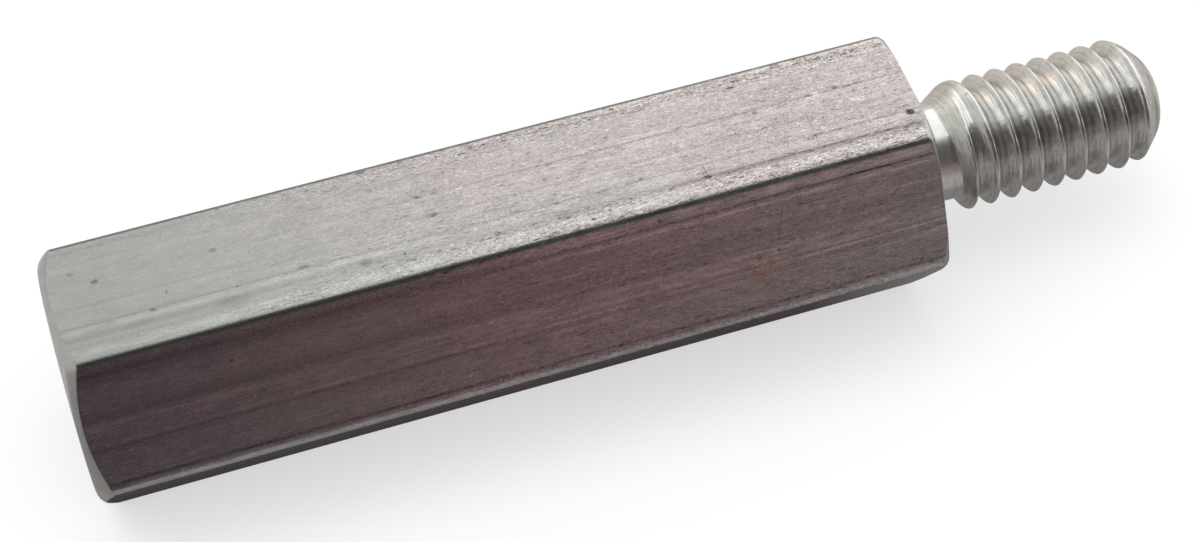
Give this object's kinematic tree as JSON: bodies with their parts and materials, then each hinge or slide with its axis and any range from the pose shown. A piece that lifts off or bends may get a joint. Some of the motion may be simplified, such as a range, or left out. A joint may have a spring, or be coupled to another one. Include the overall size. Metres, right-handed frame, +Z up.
{
  "type": "hex standoff",
  "caption": "Hexagonal threaded standoff in bare aluminium: tapped hole in one end, threaded stud with a relief on the other.",
  "frame": {"origin": "centre of the open end's face, at the mouth of the tapped hole, on the thread axis", "axes": "+X along the thread axis from the open end to the stud's tip, +Z up out of a flat of the hexagon, +Y across two of its edges"},
  "size_m": [0.033, 0.008, 0.007],
  "materials": {
    "bare_aluminium": "drawn bar with turned ends, bare"
  },
  "bodies": {
    "root": {"standoff": "bare_aluminium"}
  },
  "joints": []
}
